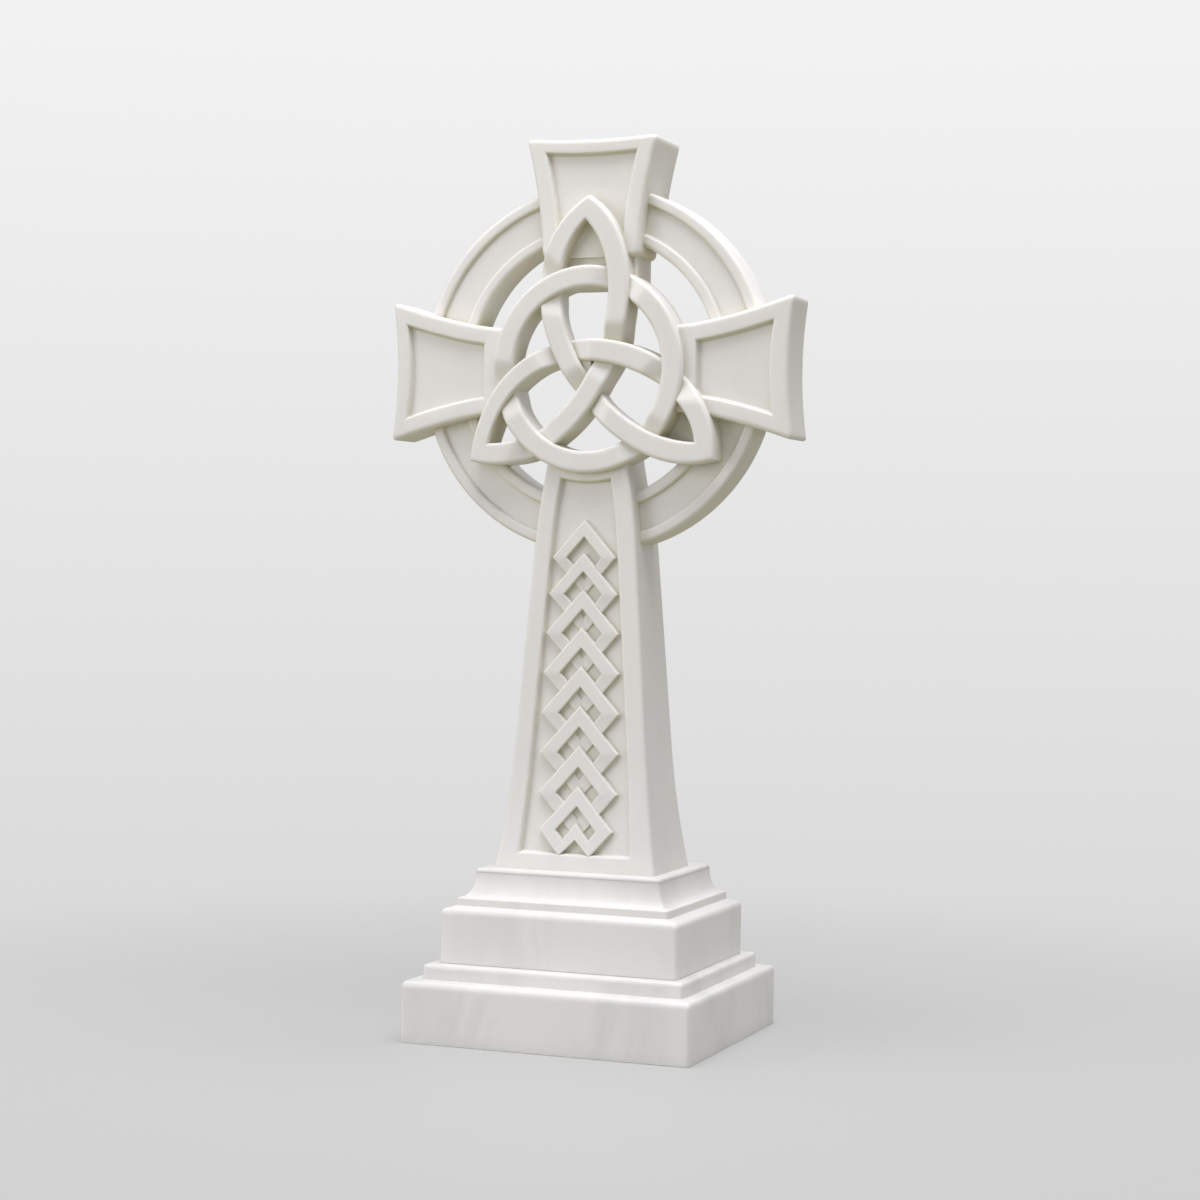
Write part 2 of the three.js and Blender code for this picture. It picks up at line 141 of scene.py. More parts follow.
def sheet_stack(grids: Sequence[np.ndarray]) -> Shape:
    """Closed shape through a stack of grids: the rims of all of them, and the first and last whole.

    Args:
        grids: Arrays of rows, columns and xyz, all of one size.

    Returns:
        The shape.
    """
    rows, columns, _ = grids[0].shape
    number = np.arange(rows * columns).reshape(rows, columns)
    rim = np.concatenate([number[0, :-1], number[:-1, -1], number[-1, :0:-1], number[:0:-1, 0]])
    loops = np.stack([grid.reshape(-1, 3)[rim] for grid in grids])
    cells = np.stack([number[:-1, :-1], number[:-1, 1:], number[1:, 1:], number[1:, :-1]], axis=-1)
    cells = cells.reshape(-1, 4)
    first = number.ravel() + loops.shape[0] * loops.shape[1]
    last = first + rows * columns
    first[rim] = np.arange(len(rim))
    last[rim] = np.arange(len(rim)) + (len(loops) - 1) * len(rim)
    points = np.concatenate([loops.reshape(-1, 3), grids[0].reshape(-1, 3), grids[-1].reshape(-1, 3)])
    quads = np.concatenate([grid_quads(len(loops), len(rim), False), first[cells][:, ::-1], last[cells]])
    used, renumbered = np.unique(quads, return_inverse=True)
    return Shape(points[used], renumbered.reshape(-1, 4))


def softened(corners: Sequence[Sequence[float]], radii: Sequence[float], steps: int = 6,
             closed: bool = True) -> np.ndarray:
    """A polygon with each corner rounded, and a point kept on the flat close to each rounding.

    A corner c with neighbours p and q becomes the parabola from c + r(p - c) to c + r(q - c), its
    directions made unit long, which is tangent to both sides.

    Args:
        corners: The corners in order.
        radii: How far each rounding reaches along its sides.
        steps: Segments of each rounding.
        closed: Whether the last corner joins the first. If not, both ends stay as they are.

    Returns:
        The rounded polygon's points.
    """
    c = np.asarray(corners, dtype=float)
    r = np.asarray(radii, dtype=float)[:, None]
    p, q = np.roll(c, 1, axis=0), np.roll(c, -1, axis=0)
    to_p = (p - c) / np.linalg.norm(p - c, axis=1, keepdims=True)
    to_q = (q - c) / np.linalg.norm(q - c, axis=1, keepdims=True)
    a, b = c + r * to_p, c + r * to_q
    t = np.linspace(0.0, 1.0, steps + 1)[None, :, None]
    curve = (1 - t) ** 2 * a[:, None] + 2 * t * (1 - t) * c[:, None] + t ** 2 * b[:, None]
    hold = r * HOLD
    rounds = np.concatenate([(c + hold * to_p)[:, None], curve, (c + hold * to_q)[:, None]], axis=1)
    if closed:
        return rounds.reshape(-1, c.shape[1])
    return np.concatenate([c[:1], rounds[1:-1].reshape(-1, c.shape[1]), c[-1:]])


def soft_loop(sides: Sequence[np.ndarray], radius: float, count: int = 28, steps: int = 4) -> np.ndarray:
    """A closed loop through curved sides, its corners rounded.

    Each side is cut short by the radius at both ends and sampled evenly along its length, and a
    parabola whose control point is the corner joins it to the next.

    Args:
        sides: Polylines, each ending where the next begins.
        radius: How far each rounding reaches.
        count: Points kept on each side.
        steps: Segments of each rounding.

    Returns:
        The loop's points.
    """
    parts: list[np.ndarray] = []
    for side in sides:
        lengths = np.concatenate([[0.0], np.cumsum(np.linalg.norm(np.diff(side, axis=0), axis=1))])
        even = np.linspace(radius, lengths[-1] - radius, count)
        parts.append(np.stack([np.interp(even, lengths, side[:, k]) for k in (0, 1)], axis=1))
    t = np.linspace(0.0, 1.0, steps + 1)[1:-1, None]
    loop: list[np.ndarray] = []
    for here, after, side in zip(parts, parts[1:] + parts[:1], sides):
        corner = side[-1]
        loop.append(here)
        loop.append((1 - t) ** 2 * here[-1] + 2 * t * (1 - t) * corner + t ** 2 * after[0])
    return np.concatenate(loop)


def edge_levels(front: float, back: float, front_edge: float, back_edge: float, steps: int = 6) -> np.ndarray:
    """Insets and depths of a slab with rounded front and back edges, from back to front."""
    corners = [(back_edge * CLEAR, back), (0.0, back), (0.0, front), (front_edge * CLEAR, front)]
    return softened(corners, [1.0, back_edge, front_edge, 1.0], steps, closed=False)


def slab(outline: Callable[[float], np.ndarray], levels: np.ndarray) -> Shape:
    """Closed shape from an outline that is drawn in by each level's inset.

    Args:
        outline: Gives the outline's x and z points for an inset.
        levels: Inset and depth of each level, from back to front.

    Returns:
        The shape.
    """
    loops = [outline(inset) for inset, _ in levels]
    rings = [np.stack([loop[:, 0], np.full(len(loop), y), loop[:, 1]], axis=1)
             for loop, (_, y) in zip(loops, levels)]
    return ring_stack(np.stack(rings))


def joined(base: bpy.types.Mesh, other: bpy.types.Mesh, how: Join) -> bpy.types.Mesh:
    """Join one closed mesh to another or cut it away, and return the new mesh.

    Args:
        base: The mesh that is kept.
        other: The mesh that is added or cut away.
        how: Which of the two.

    Returns:
        The joined mesh.
    """
    holder = bpy.data.objects.new("joining", base)
    tool = bpy.data.objects.new("tool", other)
    for item in (holder, tool):
        bpy.context.scene.collection.objects.link(item)
    modifier = holder.modifiers.new("join", "BOOLEAN")
    modifier.operation = how.value
    modifier.solver = "MANIFOLD"
    modifier.object = tool
    depsgraph = bpy.context.evaluated_depsgraph_get()
    result = bpy.data.meshes.new_from_object(holder.evaluated_get(depsgraph))
    bpy.data.objects.remove(holder)
    bpy.data.objects.remove(tool)
    return result


def dressed(name: str, mesh: bpy.types.Mesh, material: bpy.types.Material, node: str, slot: str) -> None:
    """Turn a mesh into the named piece that stands for a CAD node.

    Args:
        name: The piece's name.
        mesh: Its mesh, in place.
        material: Its finish.
        node: The CAD node that it replaces.
        slot: The record's material slot, which is not used.
    """
    mesh.shade_smooth()
    mesh.set_sharp_from_angle(angle=SHARP_ANGLE)
    mesh.materials.clear()
    mesh.materials.append(material)
    piece = bpy.data.objects.new(name, mesh)
    bpy.context.scene.collection.objects.link(piece)
    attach(piece, "root")
    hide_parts(node)
    LOG.info("%s: %d points, %d faces", name, len(mesh.vertices), len(mesh.polygons))


class Tree:
    """The node tree of a material or world, with short ways to add to it."""

    def __init__(self, owner: bpy.types.Material | bpy.types.World) -> None:
        """Turn the owner's nodes on and keep them at hand."""
        owner.use_nodes = True
        self.nodes, self.links = owner.node_tree.nodes, owner.node_tree.links

    def fill(self, node: bpy.types.Node, inputs: dict[str | int, object]) -> bpy.types.Node:
        """Give a node's inputs their values.

        Args:
            node: The node.
            inputs: A value or another node's output for each input.

        Returns:
            The node.
        """
        for key, value in inputs.items():
            if isinstance(value, bpy.types.NodeSocket):
                self.links.new(value, node.inputs[key])
            else:
                node.inputs[key].default_value = value
        return node

    def add(self, kind: str, inputs: dict[str | int, object] | None = None,
            **settings: object) -> bpy.types.Node:
        """Add a node.

        Args:
            kind: Its type, without the leading word that all of them share.
            inputs: A value or another node's output for each input.
            settings: Its other settings.

        Returns:
            The node.
        """
        node = self.nodes.new(f"ShaderNode{kind}")
        for key, value in settings.items():
            setattr(node, key, value)
        return self.fill(node, inputs or {})

    def mapped(self, value: bpy.types.NodeSocket, before: tuple[float, float],
               after: tuple[float, float] = (0.0, 1.0), **settings: object) -> bpy.types.NodeSocket:
        """Map one range of a value onto another, held at both ends."""
        ranges = {"From Min": before[0], "From Max": before[1], "To Min": after[0], "To Max": after[1]}
        return self.add("MapRange", {"Value": value, **ranges}, **settings).outputs["Result"]

    def mixed(self, share: bpy.types.NodeSocket, low: object, high: object) -> bpy.types.NodeSocket:
        """Mix two colours by a share."""
        return self.add("Mix", {0: share, 6: low, 7: high}, data_type="RGBA").outputs[2]


@dataclass(frozen=True)
class Marble:
    """Honed white marble with faint slanting grey clouds, and painted warm shade in its creases and on its
    undersides.
    """

    name: str
    white: tuple[float, float, float] = (0.86, 0.84, 0.83)
    cloud: tuple[float, float, float] = (0.74, 0.73, 0.725)
    # Painted shade: a warm dark colour laid in creases and on undersides in place of their shadow.
    painted_crease_shade: tuple[float, float, float] = (0.65, 0.62, 0.46)
    cloud_share: float = 0.35
    cloud_scale: float = 10.0
    cloud_lean: float = 0.45
    cloud_stretch: float = 0.4
    # How close faces must lie, in metres, for the painted crease shade to show.
    painted_shade_reach: float = 0.03
    roughness: float = 0.38
    offset: tuple[float, float, float] = (0.0, 0.0, 0.0)

    def body(self, tree: Tree) -> bpy.types.NodeSocket:
        """The stone's own colour: white with slanting clouds, placed by object coordinates."""
        place = tree.add("TexCoord").outputs["Object"]
        leaning = tree.add("Mapping", {
            "Vector": place, "Location": self.offset, "Rotation": (0.0, self.cloud_lean, 0.0),
            "Scale": (1.0, 1.0, self.cloud_stretch)}).outputs["Vector"]
        clouds = tree.add("TexNoise", {
            "Vector": leaning, "Scale": self.cloud_scale, "Detail": 6.0, "Roughness": 0.6, "Distortion": 0.6})
        share = tree.mapped(clouds.outputs["Fac"], (0.46, 0.70), (0.0, self.cloud_share))
        return tree.mixed(share, (*self.white, 1.0), (*self.cloud, 1.0))

    def painted_shade_share(self, tree: Tree) -> bpy.types.NodeSocket:
        """How far the painted crease shade shows: where faces lie close together, and more on undersides,
        where shade falls.
        """
        # Ambient occlusion and the downward normal decide where the painted shade goes.
        closeness = tree.add("AmbientOcclusion", {"Distance": self.painted_shade_reach}, samples=8)
        depth = tree.mapped(closeness.outputs["AO"], (0.25, 0.85), (1.0, 0.0))
        normal = tree.add("NewGeometry").outputs["Normal"]
        upward = tree.add("SeparateXYZ", {"Vector": normal}).outputs["Z"]
        weight = tree.mapped(upward, (-0.8, 0.7), (1.4, 0.1))
        underneath = tree.mapped(upward, (-0.9, -0.05), (0.8, 0.0))
        share = tree.add("Math", {0: depth, 1: weight, 2: underneath}, operation="MULTIPLY_ADD")
        return share.outputs["Value"]

    def material(self) -> bpy.types.Material:
        """Build the node material.

        Returns:
            The material.
        """
        material = bpy.data.materials.new(self.name)
        tree = Tree(material)
        # The stone's own colour, darkened and warmed by painted shade in creases and on undersides.
        tone = tree.mixed(self.painted_shade_share(tree), self.body(tree), (*self.painted_crease_shade, 1.0))
        tree.fill(tree.nodes["Principled BSDF"], {
            "Base Color": tone, "Roughness": self.roughness, "IOR": 1.49, "Specular IOR Level": 0.35,
            "Subsurface Weight": 0.25, "Subsurface Radius": (1.0, 0.8, 0.55), "Subsurface Scale": 0.006})
        return material


@dataclass
class Plinth:
    """A stone whose upright profile is carried round a rectangle with rounded corners."""

    name: str
    slot: str
    width: float
    depth: float
    corner: float = 5.0
    corner_steps: int = 8
    cap_inset: float = 20.0

    def profile(self) -> tuple[list[tuple[float, float, float]], list[float]]:
        """Corners of the profile as insets along x and y and height, and how far each is rounded."""
        raise NotImplementedError

    def loop(self, inset_x: np.ndarray, inset_y: np.ndarray, height: np.ndarray) -> np.ndarray:
        """Rounded rectangles: a quarter circle about each corner's middle, one ring per height.

        Args:
            inset_x: How far each ring is drawn in along x.
            inset_y: The same along y.
            height: Each ring's height.

        Returns:
            Array of rings, points and xyz.
        """
        turn = np.linspace(0.0, math.pi / 2, self.corner_steps + 1)
        angle = np.concatenate([turn + k * math.pi / 2 for k in range(4)])
        sign_x = np.repeat([1.0, -1.0, -1.0, 1.0], len(turn))
        sign_y = np.repeat([1.0, 1.0, -1.0, -1.0], len(turn))
        half_x = (self.width / 2 - self.corner - inset_x)[:, None]
        half_y = (self.depth / 2 - self.corner - inset_y)[:, None]
        x = sign_x * half_x + self.corner * np.cos(angle)
        y = sign_y * half_y + self.corner * np.sin(angle)
        return np.stack([x, y, np.broadcast_to(height[:, None], x.shape)], axis=-1)

    def build(self, material: bpy.types.Material) -> None:
        """Make the stone and dress it.

        Args:
            material: Its finish.
        """
        corners, radii = self.profile()
        levels = softened(corners, radii, closed=False)
        shape = ring_stack(self.loop(levels[:, 0], levels[:, 1], levels[:, 2]))
        dressed(f"{self.name}_stone", shape.mesh(self.name), material, self.name, self.slot)


@dataclass
class LowerPlinth(Plinth):
    """The wide block on the ground, with a low step on top."""

    height: float = 81.0
    step_x: float = 19.0
    step_y: float = 26.0
    step_height: float = 20.0
    edge: float = 9.0
    step_edge: float = 6.0
    foot_edge: float = 1.2

    def profile(self) -> tuple[list[tuple[float, float, float]], list[float]]:
        """Block, ledge, step and top."""
        top = self.height + self.step_height
        inner = 2 * self.cap_inset
        corners = [(self.cap_inset, self.cap_inset, 0.0), (0.0, 0.0, 0.0), (0.0, 0.0, self.height),
                   (self.step_x, self.step_y, self.height), (self.step_x, self.step_y, top),
                   (self.step_x + inner, self.step_y + inner, top)]
        return corners, [1.0, self.foot_edge, self.edge, 1.0, self.step_edge, 1.0]


@dataclass
class UpperPlinth(Plinth):
    """The block with a sloping shoulder, a fillet and a hollow moulding under a flat cap."""

    foot: float = 101.0
    height: float = 71.6
    slope_x: float = 17.5
    slope_y: float = 13.6
    slope_rise: float = 4.2
    fillet_height: float = 10.5
    hollow_inset: float = 18.5
    hollow_height: float = 33.4
    cap_height: float = 5.0
    edge: float = 7.0
    hollow_start: float = 2.5
    hollow_lift: float = 0.4
    hollow_steps: int = 12

    def profile(self) -> tuple[list[tuple[float, float, float]], list[float]]:
        """Block, shoulder, fillet, quarter hollow and cap."""
        block = self.foot + self.height
        fillet_foot = block + self.slope_rise
        fillet_top = fillet_foot + self.fillet_height
        top = fillet_top + self.hollow_height + self.cap_height
        angles = np.linspace(0.0, math.pi / 2, self.hollow_steps)
        inset = self.hollow_start + (self.hollow_inset - self.hollow_start) * np.sin(angles)
        lift = self.hollow_lift
        rise = fillet_top + lift + (self.hollow_height - lift) * (1 - np.cos(angles))
        hollow = [(self.slope_x + i, self.slope_y + i, z) for i, z in zip(inset, rise)]
        cap, inner = self.hollow_inset, self.hollow_inset + self.cap_inset
        corners = [(self.cap_inset, self.cap_inset, self.foot), (0.0, 0.0, self.foot), (0.0, 0.0, block),
                   (self.slope_x, self.slope_y, fillet_foot), (self.slope_x, self.slope_y, fillet_top),
                   *hollow, (self.slope_x + cap, self.slope_y + cap, top),
                   (self.slope_x + inner, self.slope_y + inner, top)]
        return corners, [1.0, 1.5, self.edge, 1.0, 1.8, *[0.3] * len(hollow), 5.0, 1.0]


@dataclass
class Hub:
    """Where the cross's middle lies, and the sizes that its parts share."""

    height: float = 891.0
    forward: float = 9.0
    foot: float = 225.7
    circle_wide: float = 120.0
    circle_tall: float = 123.3
    circle_half: float = 14.6
    panel_sink: float = 8.5
    rim: float = 3.0
    hidden_lap: float = 14.0


@dataclass
class Arm:
    """A flared arm with a sunk panel on its front. It is drawn along +X and then turned."""

    hub: Hub
    direction: Direction
    root: float
    start: float
    reach: float
    root_half: float
    end_half: float
    flare: float
    sag: float
    border: float
    end_border: float
    panel_start: float
    back: float
    front: float = -44.0
    edge: float = 6.5
    back_edge: float = 4.0
    plan_corner: float = 9.0
    side_steps: int = 60
    end_steps: int = 30
    root_steps: int = 10

    def half(self, x: np.ndarray) -> np.ndarray:
        """Half width at a reach: the root's plus a power of the share run."""
        share = np.clip((x - self.start) / (self.reach - self.start), 0.0, None)
        return self.root_half + (self.end_half - self.root_half) * share ** self.flare

    def outline(self, start: float, inset: float, end_inset: float, corner: float) -> np.ndarray:
        """The arm's outline drawn in by an inset, with its end sagging in the middle.

        Args:
            start: Where the outline begins.
            inset: How far its flared sides are drawn in.
            end_inset: How far its end is drawn in.
            corner: How far its corners are rounded.

        Returns:
            The outline's x and z points, turned to the arm's direction.
        """
        end = self.reach - end_inset
        x = np.linspace(start, end, self.side_steps)
        lean = np.gradient(self.half(x), x)
        side = self.half(x) - inset * np.sqrt(1 + lean ** 2)
        z = np.linspace(-side[-1], side[-1], self.end_steps)
        tip = end - self.sag * side[-1] / self.end_half * (1 - (z / side[-1]) ** 2)
        root = np.linspace(side[0], -side[0], self.root_steps)
        sides = [np.stack([x, -side], 1), np.stack([tip, z], 1), np.stack([x[::-1], side[::-1]], 1),
                 np.stack([np.full(self.root_steps, start), root], 1)]
        loop = soft_loop(sides, corner)
        cos, sin = self.direction.value
        return np.stack([loop[:, 0] * cos - loop[:, 1] * sin, loop[:, 0] * sin + loop[:, 1] * cos], 1)

    def block(self) -> Shape:
        """The arm's solid body with rounded edges."""
        levels = edge_levels(self.front, self.back, self.edge, self.back_edge)

        def drawn_in(inset: float) -> np.ndarray:
            """The body's outline, whose corners keep room for the inset."""
            return self.outline(self.root + inset, inset, inset, max(self.plan_corner - inset * 0.4, 0.6))

        return slab(drawn_in, levels)

    def panel(self) -> Shape:
        """The sunk panel's space, which widens over its rim so that the border's edge is round."""
        rim, front, floor = self.hub.rim, self.front, self.front + self.hub.panel_sink
        levels = softened([(-rim * 0.99, front - 4.0), (-rim, front), (0.0, front), (1.6, floor - 1.2),
                           (3.2, floor), (6.0, floor)], [1.0, 0.05, rim, 1.2, 0.6, 1.0], closed=False)

        def drawn_in(inset: float) -> np.ndarray:
            """The panel's outline, wider above its rim."""
            return self.outline(self.panel_start + inset, self.border + inset, self.end_border + inset, 1.2)

        return slab(drawn_in, levels)


@dataclass
class Shaft:
    """The tapering shaft with its long sunk panel."""

    hub: Hub
    foot_half: float = 106.0
    taper: float = 0.0785
    foot_flare: float = 8.0
    foot_flare_height: float = 170.0
    waist_draw: float = 7.0
    waist_height: float = 110.0
    neck_depth: float = 42.5
    depth_taper: float = 0.0286
    depth_flare: float = 12.0
    depth_flare_height: float = 150.0
    border: float = 25.0
    foot_border: float = 21.5
    arc_gap: float = 10.5
    panel_shift: float = -1.3
    edge: float = 4.5
    rows: int = 90
    columns: int = 16

    @property
    def neck(self) -> float:
        """Height up to which the shaft is drawn in, behind the circle strand."""
        return self.hub.height - self.hub.circle_tall

    def taper_half(self, z: np.ndarray) -> np.ndarray:
        """Half width without the flare: a straight taper, less a waist under the knot."""
        waist = self.waist_draw * np.clip(1 - (self.neck - z) / self.waist_height, 0, 1) ** 2
        return self.foot_half - self.taper * (z - self.hub.foot) - waist

    def half(self, z: np.ndarray) -> np.ndarray:
        """Half width: the taper plus a flare at the foot."""
        return self.taper_half(z) + self.foot_flare * np.clip(
            1 - (z - self.hub.foot) / self.foot_flare_height, 0, None) ** 2

    def half_depth(self, z: np.ndarray) -> np.ndarray:
        """Half depth: a straight taper plus a flare at the foot."""
        flare = self.depth_flare * np.clip(1 - (z - self.hub.foot) / self.depth_flare_height, 0, None) ** 2
        return self.neck_depth + self.depth_taper * (self.neck - z) + flare

    def body_sheet(self, inset: float) -> np.ndarray:
        """The body's face as a grid: across by shares of its width less an inset, from foot to neck."""
        up = np.linspace(0, 1, self.rows)[:, None]
        z = self.hub.foot + up * (self.neck + self.hub.hidden_lap - self.hub.foot) + np.zeros(self.columns)
        x = np.linspace(-1, 1, self.columns) * (self.half(z) - inset)
        return np.stack([x, z], axis=-1)

    def panel_sheet(self, inset: float) -> np.ndarray:
        """The panel's face as a grid: across by shares of its width, up to an arc round the knot.

        Each height is a share of the way from the foot border to the arc, and each x is a share of
        the width there, found by going round a few times because each needs the other.

        Args:
            inset: How far the face is drawn in, negative for wider.

        Returns:
            Grid of x and z.
        """
        low = self.hub.foot + self.foot_border + inset
        arc = self.hub.circle_tall + self.hub.circle_half + self.arc_gap + inset
        up = np.linspace(0, 1, self.rows)[:, None]
        across = np.linspace(-1, 1, self.columns)[None, :]
        z = low + up * (self.hub.height - arc - low) + across * 0
        for _ in range(6):
            x = self.panel_shift + across * (self.taper_half(z) - self.border - inset)
            z = low + up * (self.hub.height - np.sqrt(arc ** 2 - x ** 2) - low)
        return np.stack([x, z], axis=-1)

    def shape(self) -> Shape:
        """The shaft with its panel: grids from the back round the edges to the panel's floor."""
        rim, sink, edge = self.hub.rim, self.hub.panel_sink, self.edge
        turn = [(edge * CLEAR, 0.0), (0.0, 0.0), (0.0, 20.0)]
        rounding = softened(turn, [1.0, edge, 1.0], closed=False)[:-1]
        panel = softened([(-rim * 1.4, 0.0), (0.0, 0.0), (1.6, sink - 1.0), (3.0, sink), (4.5, sink)],
                         [1.0, rim, 1.2, 0.6, 1.0], closed=False)
        grids = []
        back, front = (1.0, rounding, self.body_sheet), (-1.0, rounding[::-1], self.body_sheet)
        for facing, levels, sheet in (back, front, (-1.0, panel, self.panel_sheet)):
            for inset, depth in levels:
                plan = sheet(inset)
                y = facing * (self.half_depth(plan[..., 1]) - depth)
                grids.append(np.stack([plan[..., 0], y, plan[..., 1]], axis=-1))
        return sheet_stack(grids)


@dataclass
class Ring:
    """The ring, with a band sunk between two round borders."""

    middle: tuple[float, float] = (-3.0, 2.0)
    inner: float = 176.5
    outer: float = 245.0
    border: float = 15.5
    half_depth: float = 26.0
    sink: float = 6.0
    edge: float = 6.0
    steps: int = 240

    def shape(self) -> Shape:
        """The section carried round a full circle."""
        front, floor = -self.half_depth, -self.half_depth + self.sink
        band_in, band_out = self.inner + self.border, self.outer - self.border
        corners = [(self.inner, front), (band_in, front), (band_in + 0.6, floor), (band_out - 0.6, floor),
                   (band_out, front), (self.outer, front), (self.outer, self.half_depth),
                   (self.inner, self.half_depth)]
        section = softened(corners, [self.edge, 4.0, 1.2, 1.2, 4.0, self.edge, 2.5, 2.5], steps=6)
        angle = np.linspace(0, 2 * math.pi, self.steps, endpoint=False)[:, None]
        x = self.middle[0] + section[:, 0] * np.cos(angle)
        z = self.middle[1] + section[:, 0] * np.sin(angle)
        y = np.broadcast_to(section[:, 1], x.shape)
        return ring_stack(np.stack([x, y, z], axis=-1), close_rows=True)


@dataclass
class Band:
    """A strand with a flat front and round edges, between an outer and an inner edge line."""

    width: float
    depth: float
    edge: float
    kept: float = 10.0

    def shape(self, outer: np.ndarray, inner: np.ndarray, front: Callable[[np.ndarray], np.ndarray],
              back: Callable[[np.ndarray], np.ndarray]) -> Shape:
        """Carry the section along both edge lines, which close on themselves.

        A point at share s across lies at outer + s (inner - outer). Its depth follows the front as
        far as the round edge reaches, and is spread evenly from there to the back.

        Args:
            outer: Outer edge line, x and z.
            inner: Inner edge line, x and z.
            front: Depth of the front for a grid of heights z.
            back: Depth of the back for the same.

        Returns:
            The shape.
        """
        corners = [(0.0, self.depth), (0.0, 0.0), (self.width, 0.0), (self.width, self.depth)]
        section = softened(corners, [1.0, self.edge, self.edge, 1.0], steps=6)
        share, down = section[:, 0] / self.width, section[:, 1]
        plan = outer[:, None] + (inner - outer)[:, None] * share[None, :, None]
        near, far = front(plan[..., 1]), back(plan[..., 1])
        rest = (down - self.kept) / (self.depth - self.kept)
        y = np.where(down < self.kept, near + down, near + self.kept + rest * (far - near - self.kept))
        return ring_stack(np.stack([plan[..., 0], y, plan[..., 1]], axis=-1), close_rows=True)


@dataclass
class Strand:
    """One arched strand of the knot: four points each for its outer and inner edge.

    An edge is a cubic curve from its first point to its last, drawn out towards the two between.
    """

    outer: np.ndarray
    inner: np.ndarray

    @staticmethod
    def edge(pulls: np.ndarray, t: np.ndarray) -> np.ndarray:
        """Points at shares of a cubic curve's length.

        The curve is (1-u)^3 a + 3 (1-u)^2 u b + 3 (1-u) u^2 c + u^3 d.

        Args:
            pulls: The points a, b, c and d.
            t: Shares of the way.

        Returns:
            The points.
        """
        u = np.linspace(0, 1, 600)[:, None]
        a, b, c, d = pulls
        fine = (1 - u) ** 3 * a + 3 * (1 - u) ** 2 * u * b + 3 * (1 - u) * u ** 2 * c + u ** 3 * d
        lengths = np.concatenate([[0.0], np.cumsum(np.linalg.norm(np.diff(fine, axis=0), axis=1))])
        return np.stack([np.interp(t * lengths[-1], lengths, fine[:, k]) for k in (0, 1)], axis=1)

    def edges(self, t: np.ndarray) -> tuple[np.ndarray, np.ndarray]:
        """Outer and inner edge points at shares of the way."""
        return self.edge(self.outer, t), self.edge(self.inner, t)

    def middle(self, t: np.ndarray) -> np.ndarray:
        """Middle line points at shares of the way."""
        outer, inner = self.edges(t)
        return (outer + inner) / 2


